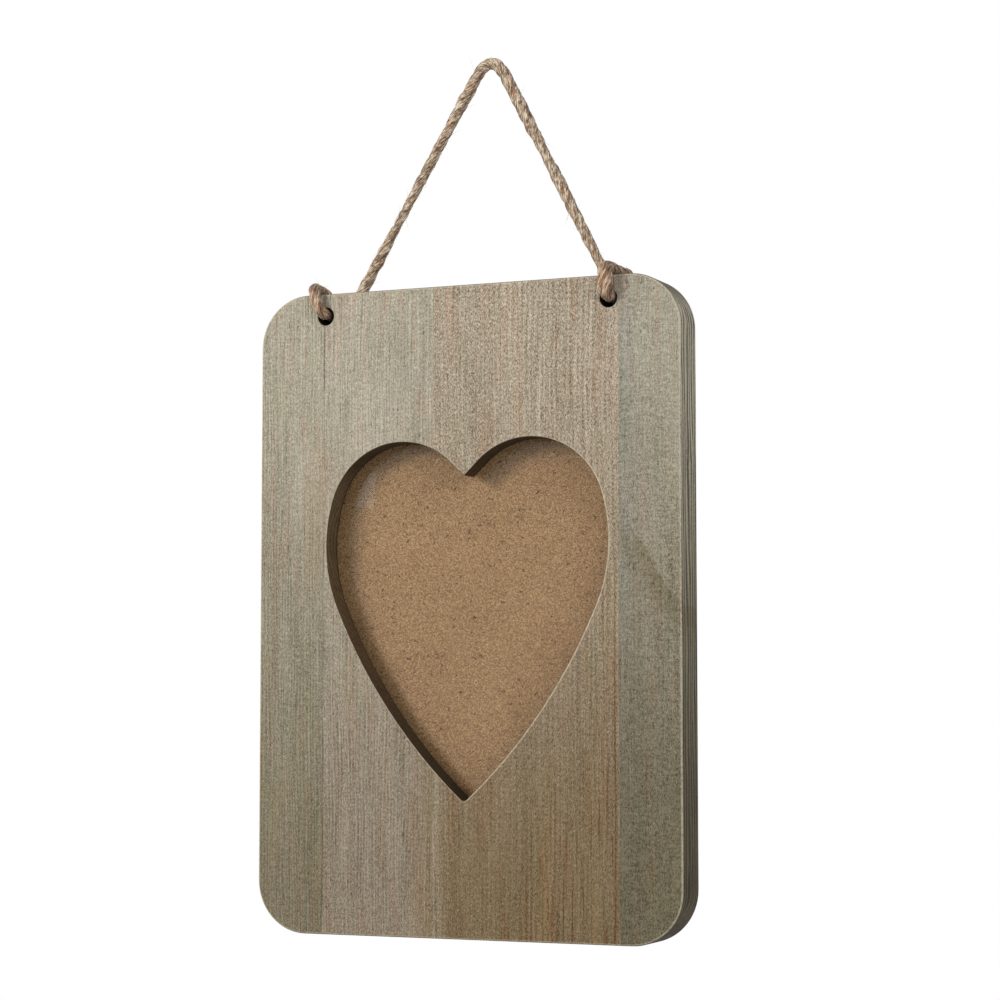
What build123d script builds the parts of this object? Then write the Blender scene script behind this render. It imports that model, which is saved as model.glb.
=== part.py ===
from build123d import *
import math
import os

# Heart window photo frame of three edge-glued pine staves, hung on jute twine.
# Units are millimetres. +Z is up, +X is right as seen from the front, -Y is the front and +Y is the rear.
# The origin is the hanging point: the underside of the twine inside its top bend.

# Board
board_width = 148.0
board_height = 210.0
board_thickness = 15.0
corner_radius = 17.0
front_edge_radius = 0.8
rear_edge_chamfer = 0.6
left_joint_from_middle = 10.8
right_joint_past_window = 3.8

# Heart window: each half is a short straight from the cleft, then three tangent arcs to the tip
lobe_radius = 25.8
lobe_centre_x = 22.6
lobe_centre_height = 28.9
cleft_height = 43.0
shoulder_radius = 52.0
flank_radius = 177.0
shoulder_start_angle = 17.0
flank_start_angle = -23.5
tip_radius = 1.4

# Glazing rebate, cut from the rear
rebate_lip = 7.0
rebate_corner_radius = 6.0
glass_thickness = 2.0
backing_thickness = 5.0
glazing_clearance = 0.5

# Turn buttons and their screws
button_thickness = 1.2
button_head_radius = 4.5
button_toe_radius = 3.0
button_edge_chamfer = 0.25
button_reach = 6.0
button_seat_gap = 0.2
button_bore_clearance = 0.1
screw_radius = 1.5
screw_length = 12.0
screw_point_length = 2.5
screw_point_radius = 0.3
screw_head_radius = 3.0
screw_head_height = 1.9
screw_head_chamfer = 0.9
screw_head_gap = 0.15
screw_recess_span = 3.2
screw_recess_width = 0.8
screw_recess_depth = 1.1
pilot_clearance = 0.05
pilot_overdrill = 0.6

# Twine holes
twine_hole_radius = 3.0
twine_hole_past_window = 0.5
twine_hole_from_top = 7.5

# Twine
twine_diameter = 3.4
slack_twine_diameter = 3.8
twine_sides = 8
twine_rise = 76.0
hang_point_setback = 9.0
apex_bend_radius = 5.0
twine_gap = 0.2
knot_turn_radius = 2.3
knot_turn_sides = 12
knot_turn_pitch = 3.2
knot_drop = 5.6
knot_stub_reach = 5.4
knot_tail_length = 7.5
knot_tail_steepness = 2.0
knot_left_lean = 1.6
knot_right_lean = -3.6

# How far each loop wanders from its hole: where it lies in the hole, up the front and at the rear
left_loop_shift = 0.6
left_loop_lean_front = 3.9
left_loop_lean_rear = 7.0
right_loop_shift = -0.4
right_loop_lean_front = -1.0
right_loop_lean_rear = 0.8

overrun = 1.0

# Places that follow from the sizes above
board_top = -twine_rise
board_bottom = board_top - board_height
board_mid = (board_top + board_bottom) / 2
rear_face = -hang_point_setback
front_face = rear_face - board_thickness
window_depth = board_thickness - glass_thickness - backing_thickness
glass_face = front_face + window_depth
glass_rear = glass_face + glass_thickness
twine_radius = twine_diameter / 2
slack_radius = slack_twine_diameter / 2
edge_bend_radius = front_edge_radius + twine_gap + slack_radius
hole_z = board_top - twine_hole_from_top


def polar(centre, radius, angle):
    """Point at an angle, in degrees, on a circle in the board's plane (x, height)."""
    turn = math.radians(angle)
    return (centre[0] + radius * math.cos(turn), centre[1] + radius * math.sin(turn))


def arc(centre, radius, start, end):
    """Arc about a centre from one angle to another, through the angle half way."""
    middle = polar(centre, radius, (start + end) / 2)
    return ThreePointArc(polar(centre, radius, start), middle, polar(centre, radius, end))


def mirrored(centre):
    return (-centre[0], centre[1])


def heart_geometry():
    """Centres and angles of the right half; heights are measured from the board's centre."""
    lobe = (lobe_centre_x, lobe_centre_height)
    shoulder = polar(lobe, lobe_radius - shoulder_radius, shoulder_start_angle)
    flank = polar(shoulder, shoulder_radius - flank_radius, flank_start_angle)
    # The straight from the cleft touches the lobe's circle
    cleft_x = -lobe[0]
    cleft_rise = cleft_height - lobe[1]
    cleft_distance = math.hypot(cleft_x, cleft_rise)
    cleft_bearing = math.degrees(math.atan2(cleft_rise, cleft_x))
    lobe_start_angle = cleft_bearing - math.degrees(math.acos(lobe_radius / cleft_distance))
    # The tip's small circle lies inside both flanks
    tip_drop = math.sqrt((flank_radius - tip_radius) ** 2 - flank[0] ** 2)
    tip = (0, flank[1] - tip_drop)
    flank_end_angle = math.degrees(math.atan2(tip[1] - flank[1], tip[0] - flank[0]))
    return lobe, shoulder, flank, tip, lobe_start_angle, flank_end_angle


def heart_face():
    lobe, shoulder, flank, tip, lobe_start, flank_end = heart_geometry()
    cleft = (0, cleft_height)
    edges = [Line(cleft, polar(lobe, lobe_radius, lobe_start))]
    edges.append(arc(lobe, lobe_radius, lobe_start, shoulder_start_angle))
    edges.append(arc(shoulder, shoulder_radius, shoulder_start_angle, flank_start_angle))
    edges.append(arc(flank, flank_radius, flank_start_angle, flank_end))
    edges.append(arc(tip, tip_radius, flank_end, -180 - flank_end))
    edges.append(arc(mirrored(flank), flank_radius, -180 - flank_end, -180 - flank_start_angle))
    left_start = 180 - shoulder_start_angle
    edges.append(arc(mirrored(shoulder), shoulder_radius, 180 - flank_start_angle, left_start))
    edges.append(arc(mirrored(lobe), lobe_radius, left_start, 180 - lobe_start))
    edges.append(Line(polar(mirrored(lobe), lobe_radius, 180 - lobe_start), cleft))
    return make_face(edges)


def from_plane(y):
    """Sketch plane facing the front: sketch x is +X, sketch y is +Z, centred on the board."""
    return Plane(origin=(0, y, board_mid), x_dir=(1, 0, 0), z_dir=(0, -1, 0))


def slab(face, y_front, y_rear):
    """Solid of a face drawn on the board's plane, between two depths."""
    return extrude(from_plane(y_rear) * face, amount=y_rear - y_front)


def cylinder_y(radius, x, z, y_front, y_rear):
    """Round bar or bore along Y."""
    return slab(Pos(x, z - board_mid) * Circle(radius), y_front, y_rear)


def heart_half_width():
    lobe, shoulder, flank, tip, lobe_start, flank_end = heart_geometry()
    return shoulder[0] + shoulder_radius


def twine_hole_x():
    """The twine holes stand over the window's widest places, just inside the right glue joint."""
    return heart_half_width() + twine_hole_past_window


def rebate_size():
    """Width, height and centre height of the rebate: the heart's box with a lip all round."""
    lobe, shoulder, flank, tip, lobe_start, flank_end = heart_geometry()
    heart_top = lobe[1] + lobe_radius
    heart_bottom = tip[1] - tip_radius
    width = 2 * (heart_half_width() + rebate_lip)
    height = heart_top - heart_bottom + 2 * rebate_lip
    return width, height, (heart_top + heart_bottom) / 2


def rebate_face(inset):
    """The rebate's outline, or what fits in it with a clearance all round."""
    width, height, centre = rebate_size()
    corner = rebate_corner_radius - inset
    return Pos(0, centre) * RectangleRounded(width - 2 * inset, height - 2 * inset, corner)


def button_setback():
    """How far the screws stand from the rebate: half way across the wood at the board's sides."""
    width, height, centre = rebate_size()
    return (board_width - width) / 4


def button_places():
    """Name, pivot x, pivot height and pointing angle of each turn button, toe over the backing."""
    width, height, centre = rebate_size()
    side_x = width / 2 + button_setback()
    end_z = height / 2 + button_setback()
    mid_z = board_mid + centre
    return [
        ("left", -side_x, mid_z, 0),
        ("right", side_x, mid_z, 180),
        ("top", 0, mid_z + end_z, -90),
        ("bottom", 0, mid_z - end_z, 90),
    ]


def make_board():
    """The whole board as it is machined after glue-up, before it is told apart by stave."""
    outline = RectangleRounded(board_width, board_height, corner_radius)
    board = slab(outline, front_face, rear_face)
    board = fillet(board.edges().group_by(Axis.Y)[0], front_edge_radius)
    board = chamfer(board.edges().group_by(Axis.Y)[-1], rear_edge_chamfer)
    board -= slab(rebate_face(0), glass_face, rear_face + overrun)
    board -= slab(heart_face(), front_face - overrun, glass_face + overrun)
    behind = rear_face + overrun
    for hole_x in (-twine_hole_x(), twine_hole_x()):
        board -= cylinder_y(twine_hole_radius, hole_x, hole_z, front_face - overrun, behind)
    pilot_radius = screw_radius + pilot_clearance
    pilot_depth = screw_length - screw_head_gap - button_thickness - button_seat_gap + pilot_overdrill
    for name, x, z, angle in button_places():
        board -= cylinder_y(pilot_radius, x, z, rear_face - pilot_depth, behind)
    return board


def make_stave(board, x_from, x_to):
    """The part of the board between two glue joints."""
    width = x_to - x_from
    blank = Rectangle(width, board_height + 2 * overrun)
    strip = slab(Pos((x_from + x_to) / 2, 0) * blank, front_face - overrun, rear_face + overrun)
    return board & strip


def make_glass():
    return slab(rebate_face(glazing_clearance), glass_face, glass_rear)


def make_backing():
    return slab(rebate_face(glazing_clearance), glass_rear, rear_face)


def make_turn_button(x, z, angle):
    """Stamped plate: a round head on the screw that narrows to a rounded toe over the backing."""
    toe = Pos(button_setback() + button_reach - button_toe_radius, 0) * Circle(button_toe_radius)
    plan = make_hull(Circle(button_head_radius).edges() + toe.edges())
    plan = Pos(x, z - board_mid) * Rot(0, 0, angle) * plan
    near = rear_face + button_seat_gap
    far = near + button_thickness
    plate = slab(plan, near, far)
    outer_rim = plate.edges().group_by(Axis.Y)[-1]
    plate = chamfer(outer_rim, button_edge_chamfer)
    bore_radius = screw_radius + button_bore_clearance
    return plate - cylinder_y(bore_radius, x, z, near - overrun, far + overrun)


def make_screw(x, z):
    """Pan head screw: its profile is turned about its own axis, head outwards."""
    seat = button_seat_gap + button_thickness + screw_head_gap
    head_top = seat + screw_head_height
    tip = seat - screw_length
    crown = screw_head_radius - screw_head_chamfer
    rim = (screw_head_radius, head_top - screw_head_chamfer)
    profile = [
        Line((0, tip), (screw_point_radius, tip)),
        Line((screw_point_radius, tip), (screw_radius, tip + screw_point_length)),
        Line((screw_radius, tip + screw_point_length), (screw_radius, seat)),
        Line((screw_radius, seat), (screw_head_radius, seat)),
        Line((screw_head_radius, seat), rim),
        Line(rim, (crown, head_top)),
        Line((crown, head_top), (0, head_top)),
        Line((0, head_top), (0, tip)),
    ]
    body = revolve(make_face(profile), axis=Axis.Y)
    slot = Rectangle(screw_recess_span, screw_recess_width)
    recess_floor = Plane(origin=(0, head_top - screw_recess_depth, 0), x_dir=(1, 0, 0), z_dir=(0, 1, 0))
    cutter = extrude(recess_floor * (slot + Rot(0, 0, 90) * slot), amount=screw_recess_depth + overrun)
    return Pos(x, rear_face, z) * (body - cutter)


def knot_centre(side):
    """Middle of a knot: behind the board, a little to one side of its hole."""
    lean = knot_left_lean if side < 0 else knot_right_lean
    depth = rear_face + twine_gap + knot_turn_radius + slack_radius
    return Vector(side * (twine_hole_x() + lean), depth, board_top - knot_drop)


def apex_corner():
    """Corner of the two strands, above the bend that lies over the hanging point."""
    left = knot_centre(-1)
    right = knot_centre(1)
    crown = Vector(0, 0, twine_radius)
    spread = (left - crown).get_angle(right - crown)
    reach = apex_bend_radius / math.sin(math.radians(spread / 2)) - apex_bend_radius
    return crown + Vector(0, 0, reach)


def strand_exit(centre):
    """Where the tight strand leaves its knot, on the line to the apex."""
    return centre + (apex_corner() - centre).normalized() * knot_stub_reach


def twine_section(diameter):
    """The twine's section, with a flat outwards where it turns about an axis."""
    return RegularPolygon(diameter / 2, twine_sides, rotation=180 / twine_sides)


def tube(points, radii, diameter):
    """Faceted cord along straight runs that tangent arcs join."""
    path = FilletPolyline(*points, radius=radii)
    section = Plane(origin=path @ 0, z_dir=path % 0) * twine_section(diameter)
    cord = sweep(section, path=path)
    print("cord radii", [round(r, 1) for r in radii], "length", round(path.length, 1),
          "volume ratio", round(cord.volume / (section.area * path.length), 4))
    return cord


def loop_points(side, centre, lean_front, lean_rear, shift):
    """One loop: from the knot through the hole, up the front, over the top edge and back to the knot."""
    front = front_face - twine_gap - slack_radius
    rear = rear_face + twine_gap + slack_radius
    over = board_top + twine_gap + slack_radius
    run_x = side * (twine_hole_x() + shift)
    back_corner = Vector(side * (twine_hole_x() + lean_rear), rear, over)
    back_end = centre + (back_corner - centre).normalized() * knot_stub_reach
    return [
        Vector(run_x, rear_face - twine_gap, hole_z),
        Vector(run_x, front, hole_z),
        Vector(side * (twine_hole_x() + lean_front), front, over),
        back_corner,
        back_end,
    ]


def twine_turn():
    """One tight turn of twine about +Z, in straight facets."""
    ring = RegularPolygon(knot_turn_radius, knot_turn_sides).face().outer_wire()
    section = Plane(origin=ring @ 0, z_dir=ring % 0) * twine_section(slack_twine_diameter)
    return sweep(section, path=ring, transition=Transition.RIGHT)


def stub(start, direction, length):
    """Straight stretch of twine from a point."""
    return extrude(Plane(origin=start, z_dir=direction) * twine_section(slack_twine_diameter), amount=length)


def make_knot(centre, loop, tail_side):
    """Two tight turns round the strand, with the stubs that the twine's stretches butt against."""
    strand = (apex_corner() - centre).normalized()
    along = Plane(origin=centre, z_dir=strand)
    knot = stub(centre - strand * slack_radius, strand, knot_stub_reach + slack_radius)
    for step in (-1, 1):
        knot += along * Pos(0, 0, step * knot_turn_pitch / 2) * twine_turn()
    knot += stub(loop[0], Vector(0, 1, 0), centre.Y - loop[0].Y)
    knot += stub(loop[-1], centre - loop[-1], knot_stub_reach)
    knot += stub(centre, Vector(tail_side, 0, -knot_tail_steepness), knot_tail_length)
    return knot


def save(shape, name):
    shape.label = name
    export_step(shape, os.path.join("parts", name + ".step"))
    print(name, "solids", len(shape.solids()), "volume", round(shape.volume, 1))


def main():
    os.makedirs("parts", exist_ok=True)
    board = make_board()
    half = board_width / 2 + overrun
    left_joint = -left_joint_from_middle
    right_joint = heart_half_width() + right_joint_past_window
    save(make_stave(board, -half, left_joint), "stave_left")
    save(make_stave(board, left_joint, right_joint), "stave_middle")
    save(make_stave(board, right_joint, half), "stave_right")
    save(make_glass(), "glass_pane")
    save(make_backing(), "backing_board")

    for name, x, z, angle in button_places():
        save(make_turn_button(x, z, angle), "turn_button_" + name)
        print("pivot", name, x, rear_face, z)
    save(Compound(children=[make_screw(x, z) for name, x, z, angle in button_places()]), "button_screws")

    left = knot_centre(-1)
    right = knot_centre(1)
    strand = [strand_exit(left), apex_corner(), strand_exit(right)]
    save(tube(strand, [apex_bend_radius], twine_diameter), "hanging_twine")
    left_loop = loop_points(-1, left, left_loop_lean_front, left_loop_lean_rear, left_loop_shift)
    right_loop = loop_points(1, right, right_loop_lean_front, right_loop_lean_rear, right_loop_shift)
    bends = [edge_bend_radius, edge_bend_radius, edge_bend_radius]
    save(tube(left_loop, bends, slack_twine_diameter), "twine_loop_left")
    save(tube(right_loop, bends, slack_twine_diameter), "twine_loop_right")
    save(make_knot(left, left_loop, -1), "knot_left")
    save(make_knot(right, right_loop, 1), "knot_right")


main()
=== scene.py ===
import math
import random

import bmesh
import bpy
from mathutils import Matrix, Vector, noise


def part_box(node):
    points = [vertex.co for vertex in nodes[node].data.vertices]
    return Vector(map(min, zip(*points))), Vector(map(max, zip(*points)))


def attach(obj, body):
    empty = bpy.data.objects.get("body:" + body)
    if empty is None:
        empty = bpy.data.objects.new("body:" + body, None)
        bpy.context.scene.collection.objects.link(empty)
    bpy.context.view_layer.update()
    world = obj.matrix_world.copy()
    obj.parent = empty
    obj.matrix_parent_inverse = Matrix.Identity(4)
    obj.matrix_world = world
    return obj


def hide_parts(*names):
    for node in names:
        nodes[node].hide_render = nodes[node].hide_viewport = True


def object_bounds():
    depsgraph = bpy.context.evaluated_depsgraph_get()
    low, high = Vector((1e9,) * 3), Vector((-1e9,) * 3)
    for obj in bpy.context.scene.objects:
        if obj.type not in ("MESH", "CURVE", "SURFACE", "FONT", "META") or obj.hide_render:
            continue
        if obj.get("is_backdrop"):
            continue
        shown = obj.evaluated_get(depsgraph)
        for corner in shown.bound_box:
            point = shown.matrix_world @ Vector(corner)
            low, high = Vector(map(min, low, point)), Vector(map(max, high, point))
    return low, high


# Heart window photo frame hung on jute twine. Metres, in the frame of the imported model, while the
# patterns of the materials are in millimetres. Colours of three parts are screen levels, 0 to 255,
# and those of four are linear.

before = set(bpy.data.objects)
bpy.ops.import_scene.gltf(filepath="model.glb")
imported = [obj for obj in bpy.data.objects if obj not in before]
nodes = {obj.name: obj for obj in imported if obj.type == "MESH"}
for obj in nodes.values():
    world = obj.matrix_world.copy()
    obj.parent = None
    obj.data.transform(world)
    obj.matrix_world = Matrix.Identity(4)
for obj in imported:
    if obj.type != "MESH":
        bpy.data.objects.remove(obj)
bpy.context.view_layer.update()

MM = 0.001
RANDOM_SEED = 71
FULL_TURN = 2 * math.pi
WHITE = (1.0, 1.0, 1.0, 1.0)
SAME_PLANE = 0.01 * MM

# Camera at the photograph's viewing angle
CAMERA_PLACE = (0.3422, -0.7840, -0.2111)
CAMERA_YAW = 0.409
CAMERA_PITCH = 0.078
CAMERA_LENS = 93.6
CAMERA_SENSOR = 36.0
CAMERA_CLIP = 50.0

# Studio, with each lamp's place, size, power and whether glossy surfaces mirror it
FLOOR_HEIGHT = -0.62
FLOOR_SIZE = 3.0
FLOOR_COLOUR = (226, 225, 222)
FLOOR_ROUGHNESS = 0.7
AMBIENT = 0.25
LAMPS = {
    "key": ((-0.74, -1.0, 0.24), 0.42, 11.2, False),
    "top": ((0.12, -0.42, 0.36), 0.40, 0.8, True),
    "gleam": ((-0.73, -1.0, 0.142), 0.40, 0.95, True),
    "fill": ((1.05, -0.75, 0.20), 0.7, 5.5, True),
    "rim": ((0.1, 1.1, -0.12), 0.9, 9.0, False),
}

# Board, as large as the three staves
board_low, board_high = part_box("stave_left")
for stave in ("stave_middle", "stave_right"):
    low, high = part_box(stave)
    board_low = Vector(map(min, board_low, low))
    board_high = Vector(map(max, board_high, high))
FRONT, REAR = board_low.y, board_high.y
TOP, BOTTOM = board_high.z, board_low.z
GLASS_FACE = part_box("glass_pane")[0].y
GLASS_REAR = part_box("glass_pane")[1].y

# Zones of the board that hold the window's wall and the twine holes
HEART_REACH = 0.052
HEART_MARGIN = 0.035
HOLE_X = 0.05
HOLE_RADIUS = 3 * MM
HOLE_BAND = 0.012
HOLE_RIM_REACH = 2 * HOLE_RADIUS
HOLE_WALL_REACH = 1.2 * HOLE_RADIUS

# Twine: routes that repeat the part's, tight strand first
TWINE_DIAMETER = 3.4 * MM
SLACK_DIAMETER = 3.8 * MM
TWINE_PITCH = 19 * MM
STRAND_ROUTE = [
    (-0.0489, -0.0044, -0.0770),
    (-0.0113, -0.0009, -0.0110),
    (-0.0006, 0.0, 0.0066),
    (0.0094, -0.0009, -0.0112),
    (0.0439, -0.0044, -0.0768),
]
LEFT_LOOP_ROUTE = [
    (-0.0506, -0.0072, -0.0830),
    (-0.0506, -0.0130, -0.0828),
    (-0.0508, -0.0200, -0.0826),
    (-0.0510, -0.0259, -0.0824),
    (-0.0523, -0.0261, -0.0788),
    (-0.0538, -0.0260, -0.0740),
    (-0.0548, -0.0205, -0.0739),
    (-0.0566, -0.0125, -0.0739),
    (-0.0581, -0.0068, -0.0740),
    (-0.0571, -0.0058, -0.0762),
    (-0.0550, -0.0054, -0.0774),
    (-0.0525, -0.0050, -0.0779),
]
RIGHT_LOOP_ROUTE = [
    (0.0502, -0.0072, -0.0830),
    (0.0502, -0.0130, -0.0828),
    (0.0502, -0.0200, -0.0826),
    (0.0501, -0.0261, -0.0824),
    (0.0500, -0.0266, -0.0788),
    (0.0497, -0.0265, -0.0737),
    (0.0500, -0.0205, -0.0737),
    (0.0505, -0.0125, -0.0739),
    (0.0508, -0.0068, -0.0740),
    (0.0503, -0.0056, -0.0765),
    (0.0490, -0.0051, -0.0783),
]

# How full the twine is along each route: share of the route, and its thickness over the plain size
STRAND_FULLNESS = (
    (0.0, 1.0), (0.05, 1.1), (0.17, 0.84), (0.27, 0.97), (0.36, 1.03), (0.43, 1.18), (0.50, 1.15),
    (0.57, 1.26), (0.66, 1.22), (0.71, 0.96), (0.77, 1.14), (0.85, 1.14), (0.93, 0.95), (1.0, 1.0),
)
LEFT_LOOP_FULLNESS = ((0.0, 0.95), (0.35, 1.0), (0.5, 1.02), (1.0, 0.95))
RIGHT_LOOP_FULLNESS = ((0.0, 0.95), (0.32, 1.08), (0.40, 1.28), (0.49, 1.26), (0.58, 1.08), (1.0, 0.95))
EVEN = ((0.0, 1.0), (1.0, 1.0))

# Knots: two turns of the loop's end round the strand, which runs on to the hole, and a short tail
KNOT_CENTRES = {"left": (-0.0516, -0.0046, -0.0816), "right": (0.0464, -0.0046, -0.0816)}
KNOT_TURN_RADIUS = 2.5 * MM
KNOT_TWINE_DIAMETER = 3.3 * MM
KNOT_CORE_DIAMETER = 3.2 * MM
KNOT_TURN_PITCH = 3.1 * MM
KNOT_TURNS = 2
TURN_POINTS = 8
CORE_CLIMB = 2.5 * MM
CORE_SAG = Vector((0.0, 0.6 * MM, -0.6 * MM))
TAIL_LENGTH = 7.5 * MM
TAIL_OUT, TAIL_BACK, TAIL_DOWN = 0.45, 0.08, -0.9
TAIL_BEND_OUT, TAIL_BEND_BACK = 0.4 * MM, 0.5 * MM
TAIL_TAPER = 0.35


def linear(level):
    """One channel of a screen colour, 0 to 255, as linear light."""
    share = level / 255
    if share <= 0.04045:
        return share / 12.92
    return ((share + 0.055) / 1.055) ** 2.4


def colour(rgb):
    return (*(linear(level) for level in rgb), 1.0)


def made_mesh(work, name):
    """Turns the bmesh into a mesh and frees it."""
    mesh = bpy.data.meshes.new(name)
    work.to_mesh(mesh)
    work.free()
    return mesh


def add_object(name, data):
    holder = bpy.data.objects.new(name, data)
    bpy.context.scene.collection.objects.link(holder)
    return holder


class Tree:
    """The node tree of a material or world, with short calls for the nodes that they share."""

    def __init__(self, holder):
        self.holder = holder
        holder.use_nodes = True
        self.nodes = holder.node_tree.nodes
        self.links = holder.node_tree.links
        self.nodes.clear()

    def add(self, kind, **settings):
        node = self.nodes.new("ShaderNode" + kind)
        for key, value in settings.items():
            setattr(node, key, value)
        return node

    def put(self, socket, value):
        """Links an output to a socket, or sets the socket's own value."""
        if isinstance(value, bpy.types.NodeSocket):
            self.links.new(value, socket)
        else:
            socket.default_value = value

    def fill(self, node, *values):
        """Puts a value in each of the node's first sockets."""
        for socket, value in zip(node.inputs, values):
            self.put(socket, value)
        return node

    def math(self, operation, *values):
        return self.fill(self.add("Math", operation=operation), *values).outputs[0]

    def chain(self, operation, first, *others):
        """Joins all the values, one after the other, by an operation with two inputs."""
        for other in others:
            first = self.math(operation, first, other)
        return first

    def total(self, *values):
        return self.chain("ADD", *values)

    def product(self, *values):
        return self.chain("MULTIPLY", *values)

    def about(self, value, strength):
        """A pattern of mean one half, centred on zero and scaled."""
        return self.product(self.math("SUBTRACT", value, 0.5), strength)

    def place(self):
        """Object coordinates in millimetres."""
        node = self.add("VectorMath", operation="SCALE")
        self.put(node.inputs[0], self.add("TexCoord").outputs["Object"])
        self.put(node.inputs["Scale"], 1 / MM)
        return node.outputs[0]

    def facing(self):
        """The surface's own direction in object space, each part squared."""
        parts = self.split(self.add("TexCoord").outputs["Normal"])
        return [self.product(part, part) for part in parts]

    def split(self, vector):
        return self.fill(self.add("SeparateXYZ"), vector).outputs

    def join(self, x, y, z):
        return self.fill(self.add("CombineXYZ"), x, y, z).outputs[0]

    def texture(self, kind, vector, stretch, seed, **settings):
        """A texture with its own frequency, per millimetre, along each axis."""
        offset = (seed, seed * 1.7, seed * 0.6)
        moved = self.fill(self.add("VectorMath", operation="MULTIPLY_ADD"), vector, stretch, offset)
        node = self.add("Tex" + kind, **settings)
        self.put(node.inputs["Vector"], moved.outputs[0])
        self.put(node.inputs["Scale"], 1.0)
        return node

    def noise(self, vector, stretch, seed, detail=2.0, roughness=0.55):
        node = self.texture("Noise", vector, stretch, seed)
        self.put(node.inputs["Detail"], detail)
        self.put(node.inputs["Roughness"], roughness)
        return node.outputs[0]

    def grains(self, vector, stretch, seed):
        """Random level of each grain."""
        return self.split(self.texture("Voronoi", vector, stretch, seed).outputs["Color"])[0]

    def cells(self, vector, stretch, seed):
        """Distance to the nearest of the spots strewn over a plane, and that spot's random level."""
        node = self.texture("Voronoi", vector, stretch, seed, voronoi_dimensions="2D")
        return node.outputs["Distance"], self.split(node.outputs["Color"])[0]

    def between(self, value, low, high, out_low=0.0, out_high=1.0):
        """Maps a range smoothly on another and holds its ends."""
        node = self.add("MapRange", interpolation_type="SMOOTHSTEP")
        return self.fill(node, value, low, high, out_low, out_high).outputs[0]

    def ramp(self, value, stops):
        node = self.fill(self.add("ValToRGB"), value)
        elements = node.color_ramp.elements
        while len(elements) < len(stops):
            elements.new(0.5)
        for element, (position, rgb) in zip(elements, stops):
            element.position = position
            element.color = colour(rgb)
        return node.outputs[0]

    def mix(self, share, first, second, blend="MIX"):
        """Mixes two colours, which a Mix node has in its sockets 6 and 7."""
        node = self.add("Mix", data_type="RGBA", blend_type=blend)
        self.put(node.inputs[0], share)
        self.put(node.inputs[6], first)
        self.put(node.inputs[7], second)
        return node.outputs[2]

    def multiply_tint(self, base, share, rgb):
        """The base multiplied by a tint, as far as the share goes: used for stains and for painted shade.
        """
        return self.mix(share, base, colour(rgb), "MULTIPLY")

    def surface(self, base, roughness, height=None, relief=0.0, **settings):
        """Principled surface with an optional bump of a given relief in metres."""
        shader = self.add("BsdfPrincipled")
        self.put(shader.inputs["Base Color"], base)
        self.put(shader.inputs["Roughness"], roughness)
        for key, value in settings.items():
            self.put(shader.inputs[key.replace("_", " ")], value)
        if height is not None:
            bump = self.add("Bump")
            self.put(bump.inputs["Strength"], 1.0)
            self.put(bump.inputs["Distance"], relief)
            self.put(bump.inputs["Height"], height)
            self.put(shader.inputs["Normal"], bump.outputs[0])
        return shader

    def mix_shaders(self, share, first, second):
        return self.fill(self.add("MixShader"), share, first.outputs[0], second.outputs[0])

    def finish(self, shader, output="OutputMaterial"):
        self.fill(self.add(output), shader.outputs[0])
        return self.holder


def new_material(name):
    return Tree(bpy.data.materials.new(name))


# Each stave: its stain from dark to light, the tint at its foot (partly a darker stain and partly
# painted shade for the light that falls off downwards), the X and Y of its pith, the spacing and depth
# of its rings, its grit at the top and foot, the strength of its fibre lines and cross hatch, the most
# of each stain hue, and its seed
STAVES = {
    "stave_left": {
        "stops": ((0.20, (104, 94, 78)), (0.50, (163, 155, 138)), (0.82, (206, 199, 182))),
        "foot": (208, 200, 194),
        "pith": (-170.0, 40.0),
        "ring": 1.0,
        "ring_depth": 0.14,
        "grit": (1.3, 1.5),
        "lines": 0.55,
        "hatch": 0.22,
        "hues": (0.15, 0.6, 0.2),
        "seed": 3.1,
    },
    "stave_middle": {
        "stops": ((0.20, (96, 82, 64)), (0.50, (158, 145, 127)), (0.82, (204, 192, 174))),
        "foot": (190, 178, 154),
        "pith": (150.0, 60.0),
        "ring": 1.5,
        "ring_depth": 0.15,
        "grit": (2.0, 1.8),
        "lines": 0.42,
        "hatch": 0.12,
        "hues": (0.15, 0.45, 0.45),
        "seed": 17.3,
    },
    "stave_right": {
        "stops": ((0.20, (88, 82, 67)), (0.50, (152, 146, 129)), (0.82, (192, 187, 170))),
        "foot": (176, 170, 154),
        "pith": (20.0, 52.0),
        "ring": 1.8,
        "ring_depth": 0.04,
        "grit": (1.35, 1.8),
        "lines": 0.36,
        "hatch": 0.36,
        "hues": (0.15, 0.4, 0.5),
        "seed": 41.9,
    },
}

# Noise in the wood: its frequency across and along the grain, what is added to the stave's seed, its
# detail and its roughness
WOOD_NOISE = {
    "sway": (0.02, 0.007, 0, 2.0, 0.55),
    "drift": (0.20, 0.02, 2, 2.0, 0.55),
    "zone": (0.055, 0.012, 5, 2.0, 0.55),
    "broken": (0.6, 0.07, 6, 2.0, 0.55),
    "ticks": (3.1, 1.2, 7, 1.0, 0.55),
    "lines": (1.9, 0.03, 9, 2.0, 0.6),
    "streak": (0.20, 0.013, 13, 3.0, 0.55),
    "blotch": (0.05, 0.02, 17, 3.0, 0.55),
    "pore": (1.5, 0.22, 19, 2.0, 0.6),
    "hatch": (0.30, 2.3, 21, 2.0, 0.55),
    "green": (0.07, 0.012, 23, 2.0, 0.55),
    "pink": (0.16, 0.013, 29, 2.0, 0.55),
    "amber": (0.12, 0.011, 31, 2.0, 0.55),
    "tone": (0.45, 0.04, 37, 2.0, 0.55),
}
SPECKLE_STRETCH = (3.5, 3.5, 2.5)
SPECKLE_SEED = 11

# A band has the two levels of a pattern over which something comes in, then its shares at both where
# they aren't 0 and 1.

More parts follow.
